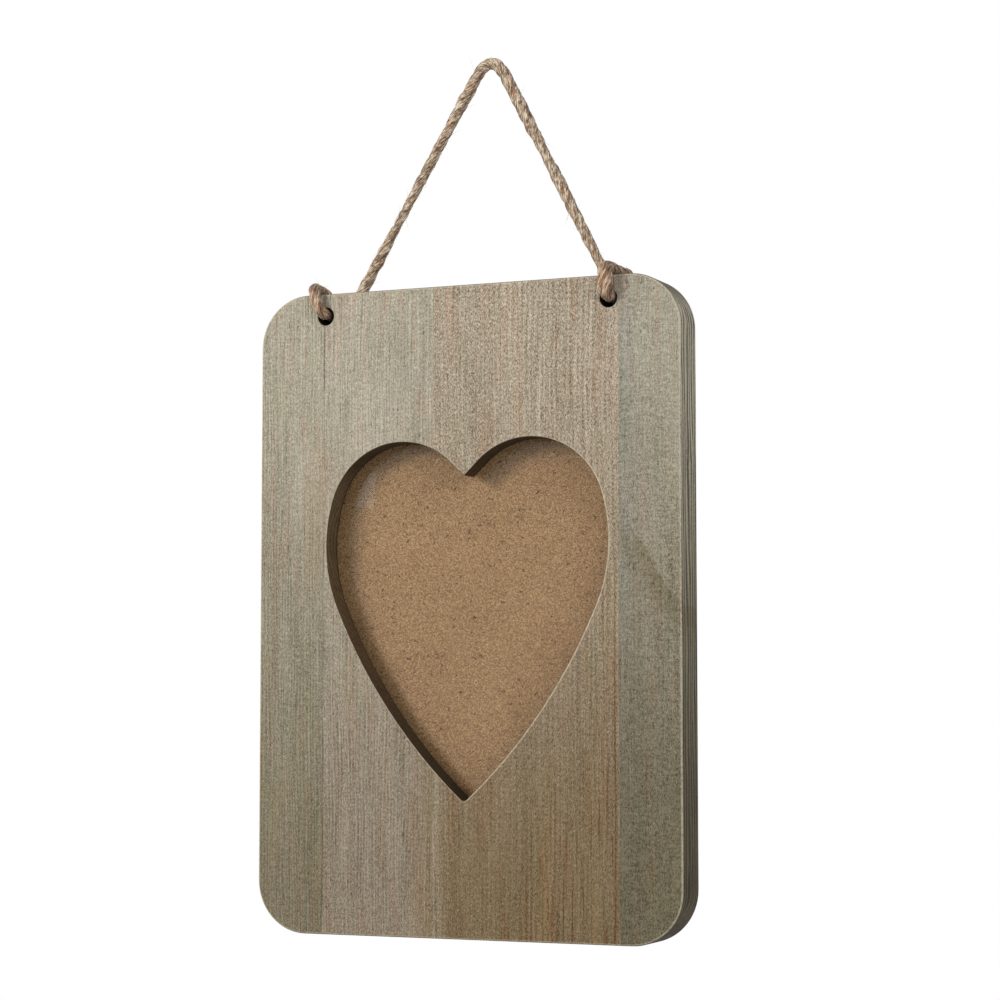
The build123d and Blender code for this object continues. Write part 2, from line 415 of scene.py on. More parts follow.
# Rings: how far they sway and drift, where they show and break up, and their depth on the sides
RING_SWAY = 10.0
RING_DRIFT = 2.2
ZONE_BAND = (0.40, 0.60, 0.15, 1.0)
BROKEN_BAND = (0.36, 0.60, 0.3, 1.0)
SIDE_RING_DEPTH = 1.1
CUT_RING_DEPTH = 0.25

# What each pattern adds to the wood's level, from dark to light, and to its height
TICK_SHARE = 0.45
SPECKLE_SHARE = 0.15
STREAK_SHARE = 0.17
BLOTCH_SHARE = 0.14
PORE_SHARE = -0.22
PORE_BAND = (0.66, 0.76)
TICK_HEIGHT = 0.8
PORE_HEIGHT = -0.5

# Hues: the noise that places them, their band and their tint. Those of the stain are weighed by each
# stave's own shares, and the amber comes in towards the foot.
GRAIN_HUES = (
    ("tone", (0.48, 0.32), (255, 246, 242)),
    ("tone", (0.52, 0.68), (249, 252, 247)),
)
STAIN_HUES = (
    ("green", (0.46, 0.62), (238, 246, 238)),
    ("pink", (0.52, 0.66), (252, 238, 232)),
    ("amber", (0.50, 0.68), (246, 226, 186)),
)
# Painted shade: the sides of the staves are darker towards the foot
SIDE_FOOT_SHADE = (0.42, 0.37, 0.30, 1.0)

# Rounded edges are rubbed pale, partly wear and partly a painted highlight. Faces that turn up or down,
# the end grain, are darkened by painted shade
RUBBED_HIGHLIGHT_BAND = (0.35, 0.65, 1.4, 3.2)
RUBBED_HIGHLIGHT_COLOUR = (218, 208, 184)
END_GRAIN_SHADE_BAND = (0.08, 0.60, 0.0, 0.85)
END_GRAIN_SHADE_TINT = (146, 136, 122)

# Materials of a stave, in the order of their index, with their tint. The window's cut wall and the
# holes have painted shade, a dark line just before the depth of the glass. Little is mirrored, so
# that no veil lies on the wood at a grazing angle.
WOOD_KINDS = (("face", None), ("cut", (176, 158, 134)), ("hole", (86, 68, 54)))
FACE_INDEX, CUT_INDEX, HOLE_INDEX = 0, 1, 2
GLASS_LINE_SHADE_START, GLASS_LINE_SHADE_FULL = 0.75, 0.35
GLASS_LINE_SHADE_TINT = (120, 110, 100)
WOOD_ROUGHNESS_BAND = (0.3, 0.7, 0.66, 0.84)
WOOD_SPECULAR = 0.2
WOOD_RELIEF = 0.08 * MM

# Marks of the staves: the X of lines, bands of X, Z or noise over which marks come in, the stretch
# and seed of their noise, and their tints
JOINT_X = -10.8
JOINT_FOOT_TINT_X = (JOINT_X, -4.0, 0.6, 1.0)
LINE_BAND = (0.35, 0.1)
FOOT_Z = (-190.0, -250.0)
GROWTH_LINE_X = -50.4
GROWTH_SWAY = 1.2
GROWTH_NOISE = ((0.02, 0.02, 0.02), 5.0)
GROWTH_EDGE = (0.12, -0.12)
GROWTH_GAPS = ((0.1, 0.1, 0.02), 9.0)
GROWTH_GAP_BAND = (0.40, 0.55)
GROWTH_TINT = (196, 190, 184)
SHADE_Z = (-120.0, -250.0, 0.15, 1.0)
SHADE_TINT = (230, 235, 228)
BROWN_FOOT_X = (-18.0, JOINT_X)
BROWN_TINT = (244, 236, 218)
DARK_LINE_X = 51.8
DARK_LINE_Z = (-165.0, -185.0)
DARK_GAPS = ((0.2, 0.2, 0.03), 9.0)
DARK_GAP_BAND = (0.38, 0.55, 0.2, 1.0)
DARK_TINT = (206, 184, 164)
VEIN_X = (15.0, 45.0, 0.25, 1.0)
VEIN_NOISE = ((1.1, 1.1, 0.035), 61.0)
VEIN_BAND = (0.56, 0.68)
VEIN_TINT = (214, 186, 166)
COOL_JOINT_X = (63.0, 56.0)
COOL_TINT = (246, 247, 252)

# The right stave's figure: X and Z of its start, how it slants, bows and wanders, its dark edge, the
# fade beside it, and the bands of depth below its start over which it comes in and ends
FIGURE_START = (54.9, -152.0)
FIGURE_SLOPE = 0.56
FIGURE_BOW = -0.0025
FIGURE_WANDER = 7.0
FIGURE_NOISE = ((0.06, 0.06, 0.05), 13.0)
FIGURE_EDGE = (0.5, -0.4)
FIGURE_FADE = (-12.0, -0.5)
FIGURE_RISE = (0.0, 12.0)
FIGURE_END = (60.0, 30.0)
FIGURE_STRENGTH = 0.6
FIGURE_TINT = (210, 202, 178)


def left_marks(tree, place, base):
    """The left stave's thin growth line, the shade beyond it and the browner foot by the joint."""
    x, _, z = tree.split(place)
    sway = tree.about(tree.noise(place, *GROWTH_NOISE), GROWTH_SWAY)
    off = tree.math("SUBTRACT", tree.total(x, sway), GROWTH_LINE_X)
    shade = tree.product(tree.between(off, *GROWTH_EDGE), tree.between(z, *SHADE_Z))
    base = tree.multiply_tint(base, shade, SHADE_TINT)
    brown = tree.product(tree.between(x, *BROWN_FOOT_X), tree.between(z, *FOOT_Z))
    base = tree.multiply_tint(base, brown, BROWN_TINT)
    line = tree.between(tree.math("ABSOLUTE", off), *LINE_BAND)
    gaps = tree.between(tree.noise(place, *GROWTH_GAPS), *GROWTH_GAP_BAND)
    return tree.multiply_tint(base, tree.product(line, gaps), GROWTH_TINT)


def middle_marks(tree, place, base):
    """The middle stave's thin dark line and the reddish veins of its foot."""
    x, _, z = tree.split(place)
    off = tree.math("ABSOLUTE", tree.math("SUBTRACT", x, DARK_LINE_X))
    gaps = tree.between(tree.noise(place, *DARK_GAPS), *DARK_GAP_BAND)
    line = tree.product(tree.between(off, *LINE_BAND), tree.between(z, *DARK_LINE_Z), gaps)
    base = tree.multiply_tint(base, line, DARK_TINT)
    vein = tree.between(tree.noise(place, *VEIN_NOISE), *VEIN_BAND)
    spread = tree.product(tree.between(z, *FOOT_Z), tree.between(x, *VEIN_X), vein)
    return tree.multiply_tint(base, spread, VEIN_TINT)


def right_marks(tree, place, base):
    """The right stave's slanting dark figure, and the cooler wood by its joint."""
    x, _, z = tree.split(place)
    base = tree.multiply_tint(base, tree.between(x, *COOL_JOINT_X), COOL_TINT)
    run = tree.math("SUBTRACT", FIGURE_START[1], z)
    slant = tree.product(run, -FIGURE_SLOPE)
    wander = tree.about(tree.noise(place, *FIGURE_NOISE), FIGURE_WANDER)
    off = tree.total(x, -FIGURE_START[0], slant, wander, tree.product(run, run, FIGURE_BOW))
    span = tree.product(tree.between(run, *FIGURE_RISE), tree.between(run, *FIGURE_END))
    edge = tree.between(off, *FIGURE_EDGE)
    fade = tree.between(off, *FIGURE_FADE)
    return tree.multiply_tint(base, tree.product(edge, fade, span, FIGURE_STRENGTH), FIGURE_TINT)


STAVE_MARKS = {"stave_left": left_marks, "stave_middle": middle_marks, "stave_right": right_marks}


def wood_patterns(tree, place, seed):
    """The level of each pattern in the wood, by name."""
    made = {
        pattern: tree.noise(place, (across, across, along), seed + step, detail, roughness)
        for pattern, (across, along, step, detail, roughness) in WOOD_NOISE.items()
    }
    made["speckle"] = tree.grains(place, SPECKLE_STRETCH, seed + SPECKLE_SEED)
    made["pore"] = tree.between(made["pore"], *PORE_BAND)
    return made


def wood_rings(tree, look, kind, place, side_on, made):
    """Rings about the stave's pith, which come and go on the front and run on over the sides."""
    x, y, _ = tree.split(place)
    across = tree.math("SUBTRACT", tree.total(x, tree.about(made["sway"], RING_SWAY)), look["pith"][0])
    deep = tree.math("SUBTRACT", y, look["pith"][1])
    squares = tree.total(tree.math("POWER", across, 2.0), tree.math("POWER", deep, 2.0))
    turns = tree.math("DIVIDE", tree.math("SQRT", squares), look["ring"])
    phase = tree.total(turns, tree.about(made["drift"], RING_DRIFT))
    wave = tree.math("SINE", tree.product(phase, FULL_TURN))
    zone = tree.math("MAXIMUM", tree.between(made["zone"], *ZONE_BAND), side_on)
    broken = tree.between(made["broken"], *BROKEN_BAND)
    side_depth = SIDE_RING_DEPTH if kind == "face" else CUT_RING_DEPTH
    depth = tree.math("MULTIPLY_ADD", side_on, side_depth, look["ring_depth"])
    return tree.product(tree.product(wave, 0.5, depth), tree.product(zone, broken))


def hued(tree, look, made, fall, base):
    """The wood's colour with its faint hues."""
    for pattern, band, tint in GRAIN_HUES:
        base = tree.multiply_tint(base, tree.between(made[pattern], *band), tint)
    for (pattern, band, tint), most in zip(STAIN_HUES, look["hues"]):
        spread = tree.between(made[pattern], *band, 0.0, most)
        if pattern == "amber":
            spread = tree.product(spread, fall)
        base = tree.multiply_tint(base, spread, tint)
    return base


def wood_grain(tree, name, kind):
    """Colour, height and ticks of weathered pine: rings, fibres, pores, streaks and stains, with a foot
    that is partly stain and partly painted shade, painted shade on the end grain and a painted highlight
    on rubbed edges.
    """
    look = STAVES[name]
    place = tree.place()
    x, _, z = tree.split(place)
    side_on, front_on, end_on = tree.facing()
    made = wood_patterns(tree, place, look["seed"])
    ticks, speckle, pore = made["ticks"], made["speckle"], made["pore"]
    fall = tree.between(z, BOTTOM / MM, TOP / MM, 1.0, 0.0)
    grit = tree.between(z, BOTTOM / MM, TOP / MM, look["grit"][1], look["grit"][0])
    fine = tree.total(tree.about(ticks, TICK_SHARE), tree.about(speckle, SPECKLE_SHARE))
    level = tree.total(
        0.5,
        wood_rings(tree, look, kind, place, side_on, made),
        tree.product(fine, grit),
        tree.about(made["lines"], look["lines"]),
        tree.about(made["streak"], STREAK_SHARE),
        tree.about(made["blotch"], BLOTCH_SHARE),
        tree.about(made["hatch"], look["hatch"]),
        tree.product(pore, PORE_SHARE),
    )
    base = hued(tree, look, made, fall, tree.ramp(level, look["stops"]))
    # The foot's tint: partly a darker stain and partly painted shade, darker towards the bottom
    foot_stain_and_shade = fall
    if name == "stave_middle":
        foot_stain_and_shade = tree.product(fall, tree.between(x, *JOINT_FOOT_TINT_X))
    base = tree.multiply_tint(base, foot_stain_and_shade, look["foot"])
    # Painted shade: the sides grow darker towards the foot
    base = tree.mix(tree.product(side_on, fall), base, SIDE_FOOT_SHADE, "MULTIPLY")
    base = STAVE_MARKS[name](tree, place, base)
    # Rounded edges get a paler colour: partly rubbed wear, partly a painted highlight
    rounded = tree.product(front_on, tree.math("SUBTRACT", 1.0, front_on))
    rubbed_with_painted_light = tree.product(rounded, tree.between(ticks, *RUBBED_HIGHLIGHT_BAND))
    base = tree.mix(rubbed_with_painted_light, base, colour(RUBBED_HIGHLIGHT_COLOUR))
    # Painted shade on faces that turn up or down, the end grain
    base = tree.multiply_tint(base, tree.between(end_on, *END_GRAIN_SHADE_BAND), END_GRAIN_SHADE_TINT)
    height = tree.total(tree.product(ticks, TICK_HEIGHT), speckle, tree.product(pore, PORE_HEIGHT))
    return base, height, ticks


def wood_materials(name):
    """The stave's faces with their stains, the darker cut wall of the window and its twine holes, the
    walls with painted shade just before the glass.
    """
    made = []
    for kind, tint in WOOD_KINDS:
        tree = new_material("pine_" + name + "_" + kind)
        base, height, ticks = wood_grain(tree, name, kind)
        if tint:
            base = tree.multiply_tint(base, 1.0, tint)
            # Painted shade: a dark line on the cut wall and the holes just before the glass, where they
            # meet it
            depth = tree.split(tree.place())[1]
            glass_line_shade = tree.between(depth, GLASS_FACE / MM - GLASS_LINE_SHADE_START, GLASS_FACE / MM - GLASS_LINE_SHADE_FULL)
            base = tree.multiply_tint(base, glass_line_shade, GLASS_LINE_SHADE_TINT)
        roughness = tree.between(ticks, *WOOD_ROUGHNESS_BAND)
        shader = tree.surface(base, roughness, height, WOOD_RELIEF, Specular_IOR_Level=WOOD_SPECULAR)
        made.append(tree.finish(shader))
    return made


# Worn edges: the most wear, the least share of it, how soon it grows as the wall turns to the left,
# and how sharp an edge is to be worn. A glue joint is told by its length.
RIM_WEAR = 0.9 * MM
RIM_SHARE_LEAST = 0.25
RIM_SHARE_GROWTH = 1.3
RIM_ANGLE = math.radians(60)
WEAR_SEGMENTS = 3
JOINT_LENGTH = 0.02
UPRIGHT_LEAST = 0.9999
MERGE_DISTANCE = 0.005 * MM
FLAT_ANGLE = math.radians(0.2)
SLIVER = 0.0005 * MM
WALL_TILT = 0.9
SMOOTH_ANGLE = math.radians(35)


def inside_window(point):
    """True for a point on the window's wall and not on the board's outside or a twine hole."""
    return abs(point.x) < HEART_REACH and BOTTOM + HEART_MARGIN < point.z < TOP - HEART_MARGIN


def near_hole(point, reach):
    """True for a point in the top band whose X is within reach of a twine hole's axis."""
    return point.z > TOP - HOLE_BAND and abs(abs(point.x) - HOLE_X) < reach


def rim_share(edge):
    """Share of the most wear for a front edge: a window's edge is worn most where it faces left."""
    on_front = all(abs(vert.co.y - FRONT) < SAME_PLANE for vert in edge.verts)
    if not on_front or len(edge.link_faces) != 2 or edge.calc_face_angle(0) < RIM_ANGLE:
        return 0.0
    middle = (edge.verts[0].co + edge.verts[1].co) / 2
    if near_hole(middle, HOLE_RIM_REACH):
        return RIM_SHARE_LEAST
    along = (edge.verts[1].co - edge.verts[0].co).normalized()
    joint = abs(along.z) > UPRIGHT_LEAST and edge.calc_length() > JOINT_LENGTH
    if joint or not inside_window(middle):
        return 0.0
    wall = min(edge.link_faces, key=lambda face: abs(face.normal.y))
    return max(RIM_SHARE_LEAST, min(1.0, -RIM_SHARE_GROWTH * wall.normal.x))


def weighted_mesh(name):
    """The stave's own mesh, with each edge's share of the wear as its bevel weight."""
    work = bmesh.new()
    work.from_mesh(nodes[name].data)
    bmesh.ops.remove_doubles(work, verts=work.verts, dist=MERGE_DISTANCE)
    bmesh.ops.dissolve_limit(work, angle_limit=FLAT_ANGLE, verts=work.verts, edges=work.edges)
    work.normal_update()
    weight = work.edges.layers.float.new("bevel_weight_edge")
    for edge in work.edges:
        edge[weight] = rim_share(edge)
    return made_mesh(work, "sharp")


def worn_mesh(name):
    """The stave's mesh with its window and hole edges worn round, and no slivers left by that."""
    sharp = weighted_mesh(name)
    blank = add_object("blank", sharp)
    wear = blank.modifiers.new("wear", "BEVEL")
    wear.limit_method = "WEIGHT"
    wear.width = RIM_WEAR
    wear.segments = WEAR_SEGMENTS
    wear.use_clamp_overlap = False
    bpy.context.view_layer.update()
    graph = bpy.context.evaluated_depsgraph_get()
    mesh = bpy.data.meshes.new_from_object(blank.evaluated_get(graph))
    bpy.data.objects.remove(blank)
    bpy.data.meshes.remove(sharp)
    work = bmesh.new()
    work.from_mesh(mesh)
    bmesh.ops.remove_doubles(work, verts=work.verts, dist=SLIVER)
    bmesh.ops.dissolve_degenerate(work, dist=SLIVER, edges=work.edges)
    work.to_mesh(mesh)
    work.free()
    return mesh


def wood_index(face):
    """Index of the material of a stave's face."""
    middle = face.center
    upright = abs(face.normal.y) < WALL_TILT and middle.y > FRONT + RIM_WEAR
    if upright and near_hole(middle, HOLE_WALL_REACH):
        return HOLE_INDEX
    if upright and inside_window(middle) and middle.y < GLASS_FACE:
        return CUT_INDEX
    return FACE_INDEX


def detail_stave(name):
    """The stave with worn window and hole edges, and each kind of face in its own material."""
    mesh = worn_mesh(name)
    mesh.name = name + "_worn"
    mesh.materials.clear()
    for material in wood_materials(name):
        mesh.materials.append(material)
    for face in mesh.polygons:
        face.use_smooth = True
        face.material_index = wood_index(face)
    mesh.set_sharp_from_angle(angle=SMOOTH_ANGLE)
    piece = add_object(name + "_worn", mesh)
    smooth = piece.modifiers.new("weighted", "WEIGHTED_NORMAL")
    smooth.keep_sharp = True
    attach(piece, "frame")
    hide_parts(name)


def dress(name, material):
    """Gives a carried-over node its material."""
    mesh = nodes[name].data
    mesh.materials.clear()
    mesh.materials.append(material)


# Fibreboard: its stops from dark to light, and its loose fibres, each kind with its angle, half
# length, half width, how rare it is, tone and strength. A fibre is the core of a stretched cell.
BOARD_STOPS = ((0.08, (94, 64, 34)), (0.5, (139, 105, 68)), (0.92, (180, 145, 106)))
BOARD_FIBRES = (
    (0.4, 0.9, 0.17, 0.80, (56, 32, 16), 0.85),
    (1.5, 0.6, 0.20, 0.80, (48, 26, 12), 0.85),
    (2.6, 1.1, 0.16, 0.82, (62, 38, 20), 0.75),
    (0.9, 1.2, 0.16, 0.93, (206, 174, 128), 0.5),
    (2.1, 1.0, 0.15, 0.93, (202, 170, 124), 0.5),
)
FIBRE_CELL_SHARE = 0.1
FIBRE_BAND = (0.11, 0.07)
FIBRE_PICK_BAND = 0.02
FIBRE_SWAY = 2.4
FLECK_SPACING = 5.6
FLECK_RADIUS = 0.26
FLECK_LEAST = 0.3
FLECK_BAND = (1.15, 0.85)
FLECK_COLOUR = (38, 20, 8)
BOARD_ROUGHNESS = 0.78
BOARD_RELIEF = 0.04 * MM


def fibreboard_material():
    """Plain brown fibreboard: fine grain, loose dark and pale fibres, and dark flecks."""
    tree = new_material("fibreboard")
    x, _, z = tree.split(tree.place())
    flat = tree.join(x, z, 0.0)
    cloud = tree.noise(flat, (0.05, 0.05, 0.05), 5.0, 3.0)
    fine = tree.noise(flat, (2.6, 2.6, 2.6), 9.0, 1.0)
    grain = tree.grains(flat, (3.6, 3.6, 3.6), 3.0)
    level = tree.total(0.5, tree.about(cloud, 0.22), tree.about(fine, 0.35), tree.about(grain, 0.72))
    base = tree.ramp(level, BOARD_STOPS)
    sway = tree.about(tree.noise(flat, (0.5, 0.5, 0.5), 23.0, 1.0), FIBRE_SWAY)
    for angle, half_length, half_width, rarity, tone, strength in BOARD_FIBRES:
        turn_x, turn_z = math.cos(angle), math.sin(angle)
        along = tree.total(tree.product(x, turn_x), tree.product(z, turn_z))
        across = tree.total(tree.product(x, -turn_z), tree.product(z, turn_x), sway)
        stretch = (FIBRE_CELL_SHARE / half_length, FIBRE_CELL_SHARE / half_width, 0.0)
        near, pick = tree.cells(tree.join(along, across, 0.0), stretch, 7.0 * angle)
        picked = tree.between(pick, rarity, rarity + FIBRE_PICK_BAND)
        share = tree.product(tree.between(near, *FIBRE_BAND), picked, strength)
        base = tree.mix(share, base, colour(tone))
    near, pick = tree.cells(flat, (1 / FLECK_SPACING, 1 / FLECK_SPACING, 0.0), 77.0)
    largest = FLECK_RADIUS / FLECK_SPACING
    reach = tree.between(pick, 0.0, 1.0, FLECK_LEAST * largest, largest)
    fleck = tree.between(tree.math("DIVIDE", near, reach), *FLECK_BAND)
    base = tree.mix(fleck, base, colour(FLECK_COLOUR))
    return tree.finish(tree.surface(base, BOARD_ROUGHNESS, grain, BOARD_RELIEF))


# Glass, with linear colours and an index of refraction low enough for reflections as faint as the
# photograph's
GLASS_COLOUR = (0.985, 0.995, 0.99, 1.0)
GLASS_CLEAR = (0.96, 0.97, 0.965, 1.0)
GLASS_ROUGHNESS = 0.02
GLASS_INDEX = 1.25


def glass_material():
    """Clear float glass that lets the lamps light what lies behind it."""
    tree = new_material("float_glass")
    shader = tree.surface(GLASS_COLOUR, GLASS_ROUGHNESS, Transmission_Weight=1.0, IOR=GLASS_INDEX)
    clear = tree.fill(tree.add("BsdfTransparent"), GLASS_CLEAR)
    rays = tree.add("LightPath").outputs
    for ray in ("Is Shadow Ray", "Is Diffuse Ray"):
        shader = tree.mix_shaders(rays[ray], shader, clear)
    return tree.finish(shader)


# Steels: colour, roughness where it shines, and the frequency of its rubbed marks along each axis
PLATED_STEEL = ((196, 192, 182), 0.28, (1.2, 8.0, 8.0))
SCREW_STEEL = ((178, 180, 182), 0.34, (6.0, 6.0, 6.0))
DULL_SHARE = 0.72
DULL_ROUGHNESS = 0.14
STEEL_RELIEF = 0.01 * MM


def metal_material(name, rgb, roughness, brush):
    """Plated steel with fine rub marks and faint cloudy wear."""
    tree = new_material(name)
    place = tree.place()
    cloud = tree.noise(place, (0.35, 0.35, 0.35), 4.0, 3.0)
    marks = tree.noise(place, brush, 8.0, 3.0, 0.7)
    level = tree.total(0.5, tree.about(cloud, 0.8), tree.about(marks, 0.5))
    dull = tuple(DULL_SHARE * channel for channel in rgb)
    base = tree.ramp(level, ((0.25, dull), (0.6, rgb)))
    rough = tree.between(level, 0.3, 0.7, roughness + DULL_ROUGHNESS, roughness)
    return tree.finish(tree.surface(base, rough, marks, STEEL_RELIEF, Metallic=1.0))


# Jute: tints of the strand and of the rubbed loops, the latter darker partly as painted shade, its
# stops from shade to pale fibres, and its rust
JUTE_TINT = (247, 246, 244)
RUBBED_JUTE_SHADE_TINT = (232, 219, 210)
JUTE_STOPS = (
    (0.06, (80, 60, 44)),
    (0.36, (138, 114, 91)),
    (0.58, (176, 153, 129)),
    (0.92, (222, 208, 186)),
)
RUST_COLOUR = (150, 98, 60)
RUST_STRENGTH = 0.6
JUTE_ROUGHNESS = 0.86
JUTE_SHEEN = 0.15
JUTE_RELIEF = 0.2 * MM


def twine_material(name, tint):
    """Jute: bundles of pale and brown fibres that follow the lay."""
    tree = new_material(name)
    around, along, _ = tree.split(tree.add("UVMap", uv_map="lay").outputs[0])
    turn = tree.product(around, FULL_TURN)
    ring = tree.join(tree.math("COSINE", turn), tree.math("SINE", turn), along)
    fibre = tree.noise(ring, (7.5, 7.5, 0.75), 3.0, 1.0, 0.6)
    bundle = tree.noise(ring, (2.6, 2.6, 0.28), 11.0)
    patch = tree.noise(ring, (0.8, 0.8, 0.28), 19.0, 3.0)
    level = tree.total(0.5, tree.about(fibre, 2.6), tree.about(bundle, 1.5), tree.about(patch, 1.1))
    base = tree.ramp(level, JUTE_STOPS)
    rust = tree.between(tree.noise(ring, (1.6, 1.6, 0.4), 27.0), 0.58, 0.68)
    base = tree.mix(tree.product(rust, RUST_STRENGTH), base, colour(RUST_COLOUR))
    base = tree.multiply_tint(base, 1.0, tint)
    return tree.finish(tree.surface(base, JUTE_ROUGHNESS, fibre, JUTE_RELIEF, Sheen_Weight=JUTE_SHEEN))


SPLINE_RESOLUTION = 32
LINE_STEP = 0.32 * MM


def spline_points(route):
    """Points along the NURBS spline that has the route as its control points."""
    curve = bpy.data.curves.new("route", "CURVE")
    curve.dimensions = "3D"
    curve.resolution_u = SPLINE_RESOLUTION
    spline = curve.splines.new("NURBS")
    spline.points.add(len(route) - 1)
    for point, place in zip(spline.points, route):
        point.co = (*place, 1.0)
    spline.order_u = 3
    spline.use_endpoint_u = True
    holder = bpy.data.objects.new("route", curve)
    mesh = bpy.data.meshes.new_from_object(holder)
    points = [vert.co.copy() for vert in mesh.vertices]
    bpy.data.objects.remove(holder)
    bpy.data.curves.remove(curve)
    bpy.data.meshes.remove(mesh)
    return points


def distances(points):
    """How far along the points each of them lies."""
    reaches = [0.0]
    for first, second in zip(points, points[1:]):
        reaches.append(reaches[-1] + (second - first).length)
    return reaches


def even_line(route):
    """Evenly spaced points along the route's spline."""
    fine = spline_points(route)
    reaches = distances(fine)
    count = max(2, round(reaches[-1] / LINE_STEP))
    line = []
    segment = 0
    for index in range(count + 1):
        wanted = reaches[-1] * index / count
        while segment < len(fine) - 2 and reaches[segment + 1] < wanted:
            segment += 1
        span = reaches[segment + 1] - reaches[segment]
        share = (wanted - reaches[segment]) / span if span else 0.0
        line.append(fine[segment].lerp(fine[segment + 1], min(1.0, share)))
    return line


def carried_frames(line):
    """Two directions square to the line at each point, carried along without twist."""
    tangents = []
    for index in range(len(line)):
        ahead = line[min(index + 1, len(line) - 1)]
        behind = line[max(index - 1, 0)]
        tangents.append((ahead - behind).normalized())
    side = tangents[0].cross(Vector((0.0, 1.0, 0.1))).normalized()
    frames = []
    for index, tangent in enumerate(tangents):
        if index:
            side = tangents[index - 1].rotation_difference(tangent) @ side
        side = (side - tangent * side.dot(tangent)).normalized()
        frames.append((side, tangent.cross(side)))
    return frames


# Twine's form: plies as a share of its radius, and the slow and quick changes of its thickness. The
# relief of bundles and fibres has its depth, its frequency around and its length along the twine.
PLY_COUNT = 3
PLY_RADIUS_SHARE = 0.76
RING_SIDES = 48
UNEVEN = 0.13
SLOW_LENGTH = 9 * MM
QUICK_LENGTH = 3 * MM
BUNDLE_RELIEF = (0.13, 3.0, 7 * MM)
FIBRE_RELIEF = (0.12, 7.0, 3.5 * MM)
LAY_SHARE = 0.8
CAP_AROUND = 0.1


def ply_reach(angle):
    """Distance from the axis to the surface of three touching plies, as a share of the radius."""
    radius = PLY_RADIUS_SHARE
    off = 1 - radius
    farthest = 0.0
    for ply in range(PLY_COUNT):
        turn = angle - FULL_TURN * ply / PLY_COUNT
        inside = radius ** 2 - (off * math.sin(turn)) ** 2
        if inside > 0:
            farthest = max(farthest, off * math.cos(turn) + math.sqrt(inside))
    return farthest


def fullness(profile, share):
    """Thickness at a share of the route, between the profile's nearest two entries."""
    for (start, low), (end, high) in zip(profile, profile[1:]):
        if share <= end:
            return low + (high - low) * (share - start) / (end - start)
    return profile[-1][1]


def relief_at(spoke, reach, seed, form):
    """How far bundles or fibres stand out at one place, as a share of the radius."""
    depth, around, length = form
    return depth * noise.noise(spoke * around + Vector((0.0, 0.0, reach / length + seed)))


def twine_rings(work, line, reaches, diameter, seed, profile, taper):
    """Rings of vertices round the line, with the plies and fibres in relief."""
    radius = diameter / 2
    last = len(line) - 1
    rings = []
    for index, (centre, reach, (side, up)) in enumerate(zip(line, reaches, carried_frames(line))):
        full = fullness(profile, index / last)
        full *= 1 + UNEVEN * noise.noise(Vector((reach / SLOW_LENGTH, seed, 0.3)))
        full += 0.5 * UNEVEN * noise.noise(Vector((reach / QUICK_LENGTH, seed, 7.3)))
        from_end = min(index, last - index) * LINE_STEP
        full *= 1 - taper * max(0.0, 1 - from_end / radius) ** 2
        twist = FULL_TURN * reach / TWINE_PITCH
        ring = []
        for corner in range(RING_SIDES):
            angle = FULL_TURN * corner / RING_SIDES
            own = angle - LAY_SHARE * twist
            spoke = Vector((math.cos(own), math.sin(own), 0.0))
            lift = relief_at(spoke, reach, seed, BUNDLE_RELIEF)
            lift += relief_at(spoke, reach, seed, FIBRE_RELIEF)
            distance = radius * full * (ply_reach(angle - twist) + lift)
            offset = side * math.cos(angle) + up * math.sin(angle)
            ring.append(work.verts.new(centre + offset * distance))
        rings.append(ring)
    return rings


def twine_surface(work, lay, line, diameter, seed, profile, taper):
    """Twisted twine round a line: three plies, uneven along its length, with fibres in relief."""
    reaches = distances(line)
    rings = twine_rings(work, line, reaches, diameter, seed, profile, taper)
    turn_share = LAY_SHARE / TWINE_PITCH
    for index, (ring, above) in enumerate(zip(rings, rings[1:])):
        for corner in range(RING_SIDES):
            following = (corner + 1) % RING_SIDES
            face = work.faces.new((ring[corner], ring[following], above[following], above[corner]))
            face.smooth = True
            corners = ((index, corner), (index, corner + 1), (index + 1, corner + 1), (index + 1, corner))
            for loop, (row, column) in zip(face.loops, corners):
                around = column / RING_SIDES - turn_share * reaches[row]
                loop[lay].uv = (around, reaches[row] / MM)
    for ring, order in ((rings[0], -1), (rings[-1], 1)):
        cap = work.faces.new(ring[::order])
        for loop in cap.loops:
            loop[lay].uv = (CAP_AROUND, seed)


def twine_piece(name, stretches, replaced, material):
    """One piece of twine made of stretches: (route, diameter, seed, fullness profile, end taper)."""
    work = bmesh.new()
    lay = work.loops.layers.uv.new("lay")
    lines = []
    for route, diameter, seed, profile, taper in stretches:
        line = even_line(route)
        lines.append(line)
        twine_surface(work, lay, line, diameter, seed, profile, taper)
    bmesh.ops.recalc_face_normals(work, faces=work.faces)
    mesh = made_mesh(work, name)
    mesh.materials.append(material)
    piece = add_object(name, mesh)
    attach(piece, "frame")
    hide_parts(replaced)
    return piece, lines


